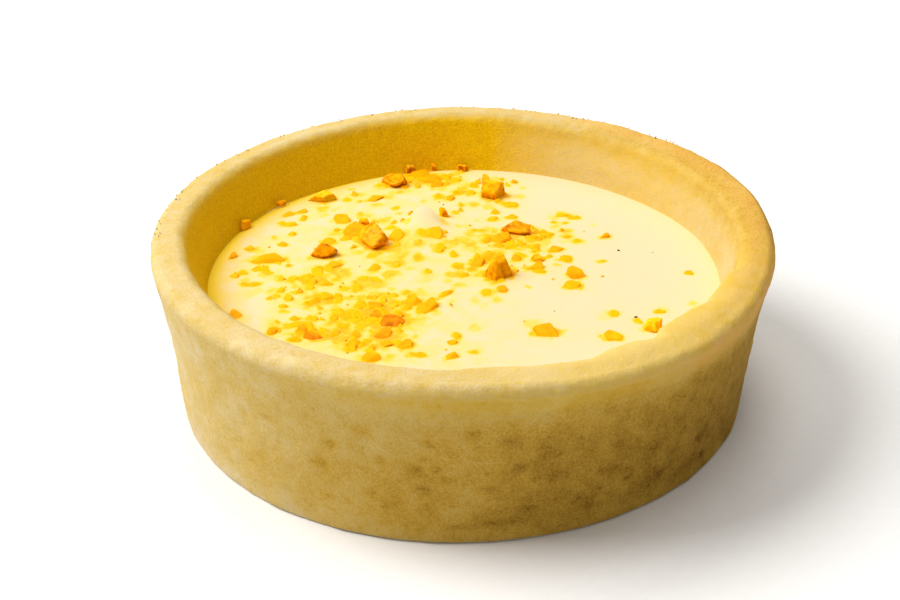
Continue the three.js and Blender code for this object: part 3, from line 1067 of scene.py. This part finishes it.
def pastry_material():
    """Baked shortcrust: sandy, pale to golden, browner in its pits, with freckles and a few dark specks, and
    with the painted shade, painted light and painted highlight of its masks.
    """
    graph = Graph("pastry_baked")
    toast_and_shade = graph.mask("toast_and_shade")
    medium = graph.noise(1.9, 3)
    sand = graph.noise(0.24, 2)
    for patches, reach in (
        (graph.noise(6, 2), (0.25, 0.75, -0.07, 0.07)),
        (medium, (0.3, 0.7, -0.07, 0.07)),
        (graph.noise(0.75, 2), (0.55, 0.8, 0, 0.14)),
        (sand, (0.3, 0.7, -0.11, 0.11)),
    ):
        toast_and_shade = graph.sum(toast_and_shade, graph.spread(patches, *reach))
    toast_and_shade = graph.sum(toast_and_shade, graph.dots(4.2, 0.11), 0.5)
    golden = graph.mix(graph.spread(sand, 0.3, 0.7), DEEP_GOLD, BRIGHT_GOLD)
    crust = graph.mix(graph.mask("gold_and_painted_light"), graph.ramp(toast_and_shade, CRUST_STOPS), golden)
    warm_and_painted_light = graph.product(graph.mask("warm_and_painted_light"), graph.spread(medium, 0.35, 0.65, 0.5, 1.5))
    crust = graph.mix(warm_and_painted_light, crust, WARM_CRUST)
    flour_and_painted_highlight = graph.product(graph.mask("flour_and_painted_highlight"), graph.spread(medium, 0.35, 0.6, 0.1, 0.5))
    return graph.shaded(
        colour=graph.mix(flour_and_painted_highlight, crust, FLOUR_AND_PAINTED_HIGHLIGHT),
        roughness=graph.spread(medium, 0.3, 0.7, 0.7, 0.85),
        specular=0.06,
        scatter=0.1,
        scatter_radius=(1, 0.6, 0.25),
        scatter_scale=0.5 * MM,
        normal=graph.bump(sand, 0.05, graph.bump(graph.noise(0.9, 3), 0.06)),
    )


TINTED_CREAM = (0.78, 0.60, 0.20)
# Colours from plain cream to cream soaked in caramel
STAIN_STOPS = (
    (0, (0.73, 0.60, 0.37)),
    (0.25, TINTED_CREAM),
    (0.5, (0.85, 0.56, 0.07)),
    (0.75, (0.88, 0.48, 0.012)),
    (1, (0.88, 0.38, 0.004)),
)
WARM_LIT_CREAM = (0.95, 0.66, 0.035)


def cream_material():
    """Set custard cream: smooth and slightly moist, yellow to orange where caramel has dissolved in it."""
    graph = Graph("cream_set")
    cloudy = graph.noise(3.2, 2)
    stain = graph.product(graph.mask("stain"), graph.spread(graph.noise(0.8, 3), 0.3, 0.7, 0.75, 1.3))
    colour = graph.ramp(stain, STAIN_STOPS)
    colour = graph.mix(graph.spread(cloudy, 0.35, 0.7, 0, 0.12), colour, TINTED_CREAM)
    fine = graph.bump(graph.noise(0.5, 2), 0.012)
    return graph.shaded(
        colour=graph.mix(graph.mask("warm_light"), colour, WARM_LIT_CREAM),
        roughness=graph.spread(cloudy, 0.3, 0.7, 0.5, 0.6),
        specular=0.04,
        normal=graph.bump(graph.noise(2.2, 1), 0.03, fine),
    )


THIN_STOPS = (
    (0, (1, 0.48, 0.002)),
    (0.25, (1, 0.41, 0.001)),
    (0.5, (0.97, 0.34, 0.001)),
    (0.75, (0.80, 0.23, 0.001)),
    (1, (0.40, 0.10, 0.001)),
)
LUMP_STOPS = (
    (0, (1, 0.66, 0.02)),
    (0.3, (0.98, 0.52, 0.003)),
    (0.6, (0.92, 0.40, 0.002)),
    (0.8, (0.76, 0.29, 0.001)),
    (1, (0.42, 0.14, 0.001)),
)
SEED_STOPS = ((0, (0.10, 0.045, 0.015)), (1, (0.02, 0.01, 0.006)))
FLOOR_STOPS = ((0.3, (0.84, 0.84, 0.84)), (0.7, (0.86, 0.86, 0.86)))


def thin_caramel():
    """Thin caramel that lets the cream shine through: yellow, browner in patches and along its edges."""
    graph = Graph("caramel_thin")
    patches = graph.noise(0.8, 3)
    burnt = graph.sum(graph.mask("burnt"), graph.spread(patches, 0.3, 0.7, -0.16, 0.16))
    return graph.shaded(
        colour=graph.ramp(burnt, THIN_STOPS),
        roughness=graph.spread(patches, 0.3, 0.7, 0.3, 0.45),
        specular=0.015,
        normal=graph.bump(graph.noise(0.4, 2), 0.02),
    )


def thick_caramel():
    """Lumps of caramel: amber, glassy and lit from within, with browner and yellower streaks in them."""
    graph = Graph("caramel_thick")
    streaks = graph.noise(0.55, 3)
    burnt = graph.sum(graph.mask("burnt"), graph.spread(streaks, 0.35, 0.65, 0.1, -0.35))
    return graph.shaded(
        colour=graph.ramp(burnt, LUMP_STOPS),
        roughness=graph.spread(streaks, 0.3, 0.7, 0.1, 0.2),
        specular=0.03,
        scatter=1,
        scatter_radius=(1, 0.7, 0.3),
        scatter_scale=0.35 * MM,
        normal=graph.bump(graph.noise(0.7, 2), 0.04),
    )


def vanilla_material():
    """Vanilla seed: nearly black, brown where it is thin, a little shiny."""
    graph = Graph("vanilla_seed")
    shade = graph.sum(graph.mask("dark"), graph.spread(graph.noise(0.12, 2), 0.3, 0.7, -0.3, 0.3))
    return graph.shaded(
        colour=graph.ramp(shade, SEED_STOPS),
        roughness=0.35,
        normal=graph.bump(graph.noise(0.08, 1), 0.01),
    )


def floor_material():
    """Pale matt paper."""
    graph = Graph("floor")
    return graph.shaded(colour=graph.ramp(graph.noise(1.2, 3), FLOOR_STOPS), roughness=0.8, specular=0.2)


# ---- Stage ----

CAMERA_PLACE = (0, -157.8, 96.1)
CAMERA_TURN = (61.457, 0.951, -0.057)  # about X, Y and Z
CAMERA_LENS = 61.66
CAMERA_SENSOR = 36
CAMERA_CLIP = (0.01, 10)  # in metres
FLOOR_HALF = 1500
FLOOR_GAP = 0.02  # below the tartlet's underside


def camera():
    data = bpy.data.cameras.new("camera")
    data.lens = CAMERA_LENS
    data.sensor_width = CAMERA_SENSOR
    data.clip_start, data.clip_end = CAMERA_CLIP
    made = in_scene("camera", data)
    made.location = np.array(CAMERA_PLACE) * MM
    made.rotation_euler = [math.radians(angle) for angle in CAMERA_TURN]
    bpy.context.scene.camera = made


def floor():
    corners = [(x * FLOOR_HALF, y * FLOOR_HALF, -FLOOR_GAP) for x, y in ((-1, -1), (1, -1), (1, 1), (-1, 1))]
    new_object("floor", corners, [(0, 1, 2, 3)], floor_material())


# A round soft lamp that points at the tartlet, with its distance and size in metres
Lamp = namedtuple("Lamp", "name azimuth elevation distance size watts colour")

LAMPS = (
    Lamp("key", 170, 50, 0.75, 0.5, 6.4, (1, 0.985, 0.955)),
    Lamp("back", 95, 50, 0.75, 0.45, 1.4, (1, 0.98, 0.94)),
    Lamp("top", 0, 84, 0.8, 0.5, 1.9, (1, 0.99, 0.97)),
    Lamp("fill", -110, 35, 0.75, 0.5, 0.6, (1, 0.985, 0.96)),
)
WORLD_COLOUR = (1, 0.96, 0.9)
WORLD_STRENGTH = 0.16


def lights():
    for lamp in LAMPS:
        data = bpy.data.lights.new(lamp.name, "AREA")
        data.shape = "DISK"
        data.size = lamp.size
        data.energy = lamp.watts
        data.color = lamp.colour
        made = in_scene(lamp.name, data)
        c, s = cos_sin(lamp.azimuth)
        level, height = np.array(cos_sin(lamp.elevation)) * lamp.distance
        made.location = (level * c, level * s, height)
        made.rotation_euler = (-made.location).to_track_quat("-Z", "Y").to_euler()


def world():
    made = bpy.data.worlds.new("world")
    made.use_nodes = True
    background = made.node_tree.nodes["Background"]
    background.inputs["Color"].default_value = (*WORLD_COLOUR, 1)
    background.inputs["Strength"].default_value = WORLD_STRENGTH
    bpy.context.scene.world = made
    bpy.context.scene.view_settings.view_transform = "Standard"


# ---- The tartlet ----


def tartlet():
    """Every piece of the tartlet, each paired with the name of a material slot."""
    pastry = pastry_material()
    bits, every_bit = caramel(thick_caramel(), thin_caramel())
    crust = pastry_case(pastry)
    custard = cream_filling(cream_material(), every_bit)
    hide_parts("pastry_case")
    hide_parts("cream_filling")
    pieces = [(crust, "pastry"), (custard, "cream")]
    pieces += [(piece, "caramel") for piece in bits]
    pieces += [(vanilla_specks(vanilla_material()), "vanilla_seed"), (pastry_crumbs(pastry), "pastry")]
    return pieces


camera()
floor()
lights()
world()
for piece, slot in tartlet():
    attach(piece, "root")
